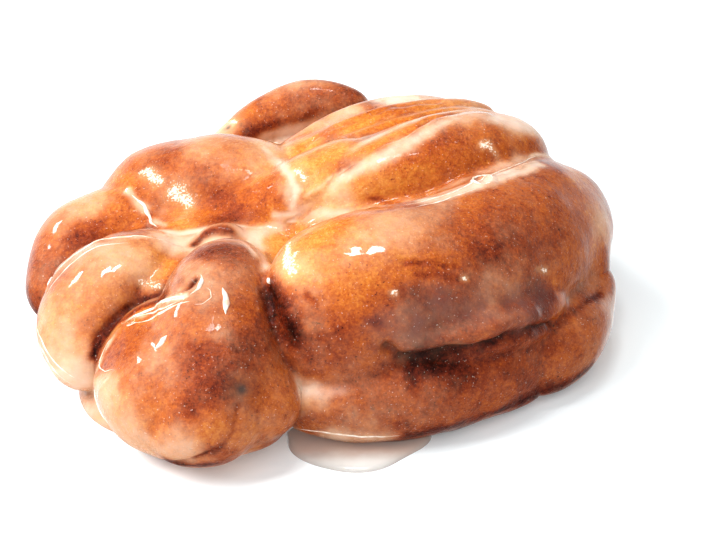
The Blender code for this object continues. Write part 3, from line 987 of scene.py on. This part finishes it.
# The grain of the crust, from broad patches to fine grit, with small burnt specks in its darker patches.
mottle = clouds(place, 3.2, 4, 0.6)
blotch = clouds(place, 1.5, 4, 0.65)
freckle = clouds(place, 0.8, 3, 0.6)
grit = clouds(place, 0.4, 2, 0.6)
specks = step_up(clouds(place, 0.55, 2, 0.5), 0.64, 0.72) * (0.35 + 1.2 * step_up(mottle, 0.45, 0.62))
tone = brown + 0.42 * (mottle - 0.5) + 0.34 * (freckle - 0.5) + 0.2 * (grit - 0.5) + 0.26 * specks
tone = tone + 0.3 * (blotch - 0.5)
smear = clouds(place, 2.4, 3, 0.55)
crust_colour = tone.node("ShaderNodeValToRGB", {"stops": CRUST_COLOURS}, Fac=tone)
cover = step_up(glaze + 0.5 * (smear - 0.5) * (1 - 0.6 * glaze), 0.0, 1.05)
film_colour = cover.node("ShaderNodeValToRGB", {"stops": FILM_COLOURS}, Fac=cover)
colour = blend(0.88 * cover, crust_colour, film_colour)
colour = blend(dusk * (0.64 + 1.2 * (mottle - 0.5) + 0.9 * (blotch - 0.5)), colour, DUSK_COLOUR)
# Nearly white glaze, and the painted highlights on the ridge crests.
colour = blend(milk * (0.75 + 0.8 * (smear - 0.5)), colour, MILK_AND_HIGHLIGHT_COLOUR)
grains = step_up(clouds(place, 0.45, 2, 0.5), 0.67, 0.75)
colour = blend(0.32 * grains * (1 - 0.6 * cover), colour, SUGAR_AND_GLINT_COLOUR)
# Painted glints: where the glaze is thin the colour is lightened to a gold sheen and speckled white, for
# light caught by the grain.
painted_glint_grain = step_up(0.66 * bare + 1.7 * (clouds(place, 0.5, 3, 0.65) - 0.5), 0.4, 0.74)
colour = blend(0.8 * painted_glint_grain, blend(0.4 * bare, colour, BARE_GOLD_SHEEN_COLOUR), SUGAR_AND_GLINT_COLOUR)
colour = blend(0.97 * pit, colour, PIT_COLOUR)
skin = (clouds(place, 0.9, 3, 0.6) + 0.7 * clouds(place, 2.2, 2)) * (1 - 0.75 * cover)
fill_sockets(shader, {
    "Base Color": colour,
    "Roughness": 0.36 - 0.14 * cover - 0.16 * bare + 0.1 * (freckle - 0.5),
    "Coat Weight": wet * (1 - 0.8 * bare),
    "Coat Roughness": 0.05,
    "Coat IOR": 1.45,
    "Specular IOR Level": 0.15,
    "Subsurface Weight": 0.12,
    "Subsurface Radius": (1.0, 0.35, 0.15),
    "Subsurface Scale": 0.003,
    "Normal": place.node("ShaderNodeBump", {}, Strength=0.55, Distance=0.0006, Height=skin),
})
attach(dough, "root")
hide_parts("fritter")

# Threads of glaze. Where the icing ran down and stopped it has set in fine raised cords along the edges of
# the lobes, and in wet strands in the grooves. Some white beads and strands among them are painted glints
# and highlight streaks on the wet glaze. Each is a sphere drawn out along a line laid on the dough.
THREAD_SEGMENTS = 10
THREAD_RINGS = 80
COURSE_STEPS = 200
COURSE_ROUNDS = 120
THREAD_FLATNESS = 0.8
# Each thread: the line, and half its width.
THREADS_AND_GLINTS = [
    (((-57, -16, 22), (-55, -14, 23), (-53, -13, 24.5), (-51, -12, 26), (-48.5, -10.5, 27.5),
      (-45, -10, 28.5), (-42, -10.5, 29), (-38, -10, 29), (-33, -10, 28)), 0.2),
    (((-57, -20, 20.5), (-55.5, -18, 22.5), (-53, -16, 25), (-49, -14, 27), (-46, -13, 28.3),
      (-43, -13, 29), (-39, -12.5, 29)), 0.14),
    (((-57, -17, 21), (-57.5, -15.5, 21), (-56.5, -14.5, 22), (-55.5, -15.5, 22.5)), 0.32),
    (((-60, -22, 16), (-58, -27, 15), (-56, -30, 13), (-53, -33, 11), (-50, -34.5, 9)), 0.22),
    (((-59, -24, 14), (-57, -29, 12), (-54, -32.5, 9), (-51, -34, 7)), 0.2),
    # White strands in the groove under the lower left lobe, partly set glaze and partly painted highlight
    # streaks.
    (((-40, -31, 22.5), (-37, -31.5, 23.5), (-34, -31, 25), (-32, -32, 27), (-30, -35, 29.5),
      (-27, -37, 31.5)), 0.5),
    (((-37.5, -35.5, 24), (-34, -36.5, 26), (-31, -38, 28), (-28.5, -38.5, 30),
      (-25.5, -39, 31.3)), 0.3),
    (((-38.5, -34, 23.5), (-34.5, -34, 25.5), (-31, -37, 28.3), (-27.5, -38, 30.7)), 0.25),
    # White beads that are painted glints: on the neck, on the front left lobe and beside the pit by the neck.
    (((-19, -35.5, 32.6), (-18.4, -37.5, 32.3), (-18.1, -40, 31.8), (-18.2, -42.5, 31)), 0.8),
    (((-32.8, -46.2, 25), (-31.2, -45.8, 25.8), (-29.8, -44.6, 26.8)), 0.75),
    (((-23.6, -31, 33), (-23.3, -33.5, 32.7), (-23.9, -35.6, 32.2), (-25.6, -37.2, 31.6)), 0.4),
    (((-5, -46, 4.5), (0, -48.5, 5.5), (6, -50, 5), (12, -49.5, 4.5), (17, -47.5, 4.5)), 0.25),
    # A painted highlight streak along the glaze left of the back left ball.
    (((-41, 11, 27), (-39.5, 9, 27), (-38, 8, 26.5), (-37, 5, 25.5), (-36, 2, 25),
      (-34.5, -1, 26)), 0.42),
    (((-41, -35, 21), (-43, -36.5, 18.5), (-44, -39, 17), (-44, -41.5, 16.5), (-42.5, -44, 17.5),
      (-40, -46, 19)), 0.14),
    (((-45, -39, 14), (-46, -43, 11), (-45, -47, 9), (-43, -50, 8)), 0.22),
    (((-25, -40, 31.5), (-23, -40, 31.5), (-21.3, -38.5, 32), (-21.5, -36.5, 32.6),
      (-22.5, -35.5, 32.7)), 0.1),
    # Another painted highlight streak in the groove under the lower left lobe.
    (((-39.5, -32.3, 23), (-36.5, -32.5, 24), (-33.5, -32.8, 25.7), (-31, -34.8, 28),
      (-28, -37.2, 31)), 0.32),
    (((17, -18, 41.2), (23, -14.5, 41), (30, -10, 41), (38, -0.5, 39.5), (43, 5, 38.5),
      (48, 13, 36)), 0.22),
    (((20, -18.5, 41), (27, -14, 41), (33, -9.5, 40.5)), 0.18),
    # A painted glint at the top of the front cleft.
    (((-10, -30, 31.5), (-9.8, -32, 31)), 0.45),
    # The ring of glaze round the burst bubble.
    (((36.7, -5.6, 40.7), (36.3, -4.3, 40.5), (35.1, -3.4, 40.4), (33.6, -3.5, 40.4),
      (32.4, -4.5, 40.6), (31.9, -5.9, 40.8), (32.3, -7.2, 41), (33.4, -8.1, 41.1), (34.9, -8, 41),
      (36.2, -7.1, 40.9), (36.7, -5.6, 40.7)), 0.3),
]


def looked_up(t, steps, rows):
    """Places or directions at shares t of the way, from rows at known steps."""
    return np.stack([np.interp(t, steps, rows[:, axis]) for axis in range(3)], axis=1)


def add_thread(line, half_width):
    """A fine cord of glaze laid along a line on the dough, sunk in by half."""
    bpy.ops.mesh.primitive_uv_sphere_add(segments=THREAD_SEGMENTS, ring_count=THREAD_RINGS, radius=MM)
    cord = bpy.context.active_object
    ball = coordinates(cord.data)
    height = np.clip(ball[:, 2], -1, 1)
    angle = np.arctan2(ball[:, 1], ball[:, 0])
    legs = np.array([math.dist(start, end) for start, end in zip(line, line[1:])])
    reached = np.concatenate(([0], np.cumsum(legs))) / legs.sum()
    t = np.arccos(-height) / math.pi
    steps = np.linspace(0, 1, COURSE_STEPS)
    course = looked_up(steps, reached, np.array(line, float))
    for _ in range(COURSE_ROUNDS):
        course[1:-1] = (course[:-2] + 2 * course[1:-1] + course[2:]) / 4
    course += shakes(course, 0.3, 3.0, (0, 5.2, half_width), (3.1, 0, 0))
    middle = looked_up(t, steps, course)
    along = looked_up(t, steps, np.gradient(course, axis=0))
    along /= np.linalg.norm(along, axis=1)[:, None]
    laid = []
    for place, direction in zip(middle, along):
        spot, normal, _, _ = skin_tree.find_nearest(Vector(place) * MM)
        side = normal.cross(Vector(direction)).normalized()
        laid.append((*(spot / MM), *normal, *side))
    laid = np.array(laid)
    uneven = 1 + 0.5 * wander(middle, 2.2, (0, 0, 1))
    profile = np.clip(1 - height ** 2, 0, 1) ** 0.5 * half_width * uneven
    places = laid[:, :3] + laid[:, 6:] * (np.cos(angle) * profile)[:, None]
    places += laid[:, 3:6] * (np.sin(angle) * profile * THREAD_FLATNESS)[:, None]
    move_to(cord.data, places)
    return cord


skin_tree = BVHTree.FromPolygons([v.co for v in mesh.vertices], [tuple(p.vertices) for p in mesh.polygons])
cords_and_glints = join_all([add_thread(*sizes) for sizes in THREADS_AND_GLINTS], "glaze_threads_and_glints")
shade_smooth(cords_and_glints.data)

# The colour of set icing, which is also the white of the painted glints.
ICING_AND_GLINT_COLOUR = (0.92, 0.82, 0.72)
THIN_ICING_COLOUR = (0.75, 0.5, 0.34)
shader, place = start_material(cords_and_glints, "glaze_thread_and_glint")
fill_sockets(shader, {
    "Base Color": blend(step_up(clouds(place, 1.5, 3), 0.35, 0.7), ICING_AND_GLINT_COLOUR, THIN_ICING_COLOUR),
    "Roughness": 0.2,
    "Coat Weight": 1.0,
    "Coat Roughness": 0.04,
})
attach(cords_and_glints, "root")

# The pool of glaze. Thin sugar icing that ran off the front and lies on the table as a flat milky sheet with
# a rounded rim. A disc is drawn out to its outline and domed, and it goes in under the dough behind.
POOL_THICKNESS = 1.2
POOL_HALF_LENGTH = 15.0
POOL_FRONT = 12.3
POOL_BACK = 4.5
POOL_PLACE = (7.7, -41.5)
POOL_SIDES = 112
POOL_CUTS = 15
bpy.ops.object.select_all(action="DESELECT")
bpy.ops.mesh.primitive_circle_add(vertices=POOL_SIDES, radius=MM, fill_type="TRIFAN")
pool = bpy.context.active_object
pool.name = "glaze_pool"
bpy.ops.object.mode_set(mode="EDIT")
bpy.ops.mesh.select_all(action="SELECT")
bpy.ops.mesh.subdivide(number_cuts=POOL_CUTS)
bpy.ops.mesh.extrude_region_move(TRANSFORM_OT_translate={"value": (0, 0, MM)})
bpy.ops.mesh.select_all(action="SELECT")
bpy.ops.mesh.normals_make_consistent(inside=False)
bpy.ops.object.mode_set(mode="OBJECT")
disc = coordinates(pool.data)
angle = np.arctan2(disc[:, 1], disc[:, 0])
out = np.hypot(disc[:, 0], disc[:, 1])
# The outline is slightly uneven.
edge = 1 + 0.05 * np.sin(3 * angle + 0.6) + 0.03 * np.sin(5 * angle + 2.0)
depth = np.where(disc[:, 1] > 0, POOL_BACK, POOL_FRONT)
top = POOL_THICKNESS * np.clip(1 - out ** 6, 0, 1) ** 0.5 * (0.8 + 0.2 * (1 - out ** 2))
placed = np.stack([
    POOL_PLACE[0] + POOL_HALF_LENGTH * edge * out * np.cos(angle),
    POOL_PLACE[1] + depth * edge * out * np.sin(angle),
    np.where(disc[:, 2] > 0.5, np.maximum(top, 0.02), 0),
], axis=1)
pool_low, pool_high = (np.array(corner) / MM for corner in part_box("glaze_puddle"))
placed[:, 0] = np.clip(placed[:, 0], pool_low[0], pool_high[0])
placed[:, 1] = np.maximum(placed[:, 1], pool_low[1])
move_to(pool.data, placed)
add_attribute(pool.data, "rim", (out - 0.92) / 0.06)
shade_smooth(pool.data)

# Close to the dough the glaze is painted with the dough's reflection and shade, it is whiter further out in
# front, and greyish at its rim.
DOUGH_REFLECTION_AND_SHADE_COLOUR = (0.7, 0.51, 0.42)
FAR_COLOUR = (0.76, 0.73, 0.69)
RIM_COLOUR = (0.5, 0.44, 0.4)
shader, place = start_material(pool, "pool_glaze")
streak = clouds(place, 6.0, 3)
forward = place.node("ShaderNodeSeparateXYZ", {}, "Y", Vector=place) * (-1 / MM) + 4 * (streak - 0.5)
colour = blend(step_up(forward, 47.0, 52.0), DOUGH_REFLECTION_AND_SHADE_COLOUR, FAR_COLOUR)
fill_sockets(shader, {
    "Base Color": blend(0.6 * stored(place, "rim"), colour, RIM_COLOUR),
    "Alpha": 0.72 + 0.2 * (streak - 0.5),
    "Roughness": 0.12,
    "Coat Weight": 1.0,
    "Coat Roughness": 0.03,
})
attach(pool, "root")
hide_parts("glaze_puddle")

# The studio: a white floor, a bright backdrop behind, a large soft light on the left and a larger one in
# front. Two small bright lights overhead and one at the side give the white glints on the wet glaze.
FLOOR_SIZE = 8
BACKDROP_GLOW = 0.9
ALL_ROUND_GLOW = 0.14
bpy.ops.object.select_all(action="DESELECT")
bpy.ops.mesh.primitive_plane_add(size=FLOOR_SIZE)
floor = bpy.context.active_object
floor.name = "floor"
shader, _ = start_material(floor, "white_paper")
fill_sockets(shader, {
    "Base Color": (0.84, 0.9, 0.92),
    "Roughness": 0.8,
    "Emission Color": (1, 1, 1),
    "Emission Strength": 0.13,
})
floor.visible_glossy = False

world = bpy.data.worlds.new("studio")
world.use_nodes = True
towards = Amount(world.node_tree).node("ShaderNodeTexCoord", {}, "Generated")
across = towards.node("ShaderNodeSeparateXYZ", {}, "Y", Vector=towards)
height = towards.node("ShaderNodeSeparateXYZ", {}, "Z", Vector=towards)
backdrop = step_up(across, 0.3, 0.75) * (1 - step_up(height, 0.0, 0.4))
fill_sockets(world.node_tree.nodes["Background"], {
    "Strength": ALL_ROUND_GLOW + BACKDROP_GLOW * backdrop,
    "Color": (1, 1, 1),
})
bpy.context.scene.world = world

# Each square light: the direction it shines from, how far off, how wide and how strong it is, and whether it
# shows as a glint on the glaze.
LIGHTS = {
    "key": ((-0.72, -0.04, 0.69), 0.9, 0.7, 17.0, False),
    "fill": ((0.15, -0.65, 0.75), 1.1, 1.5, 13.0, False),
    "glint_left": ((-0.06, 0.1, 0.99), 0.9, 0.12, 1.5, True),
    "glint_right": ((0.09, 0.1, 0.99), 0.9, 0.08, 0.8, True),
    "glint_side": ((-0.66, 0.45, 0.6), 0.9, 0.1, 0.7, True),
}
LIT_PLACE = (0, 0, 0.02)
for name, (direction, distance, size, power, glints) in LIGHTS.items():
    lamp = bpy.data.lights.new(name, "AREA")
    lamp.size = size
    lamp.energy = power
    holder = bpy.data.objects.new(name, lamp)
    bpy.context.scene.collection.objects.link(holder)
    towards = Vector(direction).normalized()
    holder.location = Vector(LIT_PLACE) + towards * distance
    holder.rotation_euler = towards.to_track_quat("Z", "Y").to_euler()
    holder.visible_glossy = glints

# The camera looks down on the fritter from the front, at the photo's angle.
AIM_X = 0.0087
AIM_Y = -0.00947
AIM_Z = 0.018
CAMERA_DISTANCE = 0.6
CAMERA_ANGLE = 32
CAMERA_LENS = 141
CAMERA_SENSOR = 36
camera = bpy.data.objects.new("camera", bpy.data.cameras.new("camera"))
bpy.context.scene.collection.objects.link(camera)
elevation = math.radians(CAMERA_ANGLE)
back = CAMERA_DISTANCE * math.cos(elevation)
up = CAMERA_DISTANCE * math.sin(elevation)
camera.location = Vector((AIM_X, AIM_Y - back, AIM_Z + up))
camera.rotation_euler = (math.radians(90) - elevation, 0, 0)
camera.data.lens = CAMERA_LENS
camera.data.sensor_width = CAMERA_SENSOR
bpy.context.scene.camera = camera
bpy.context.scene.view_settings.view_transform = "Standard"
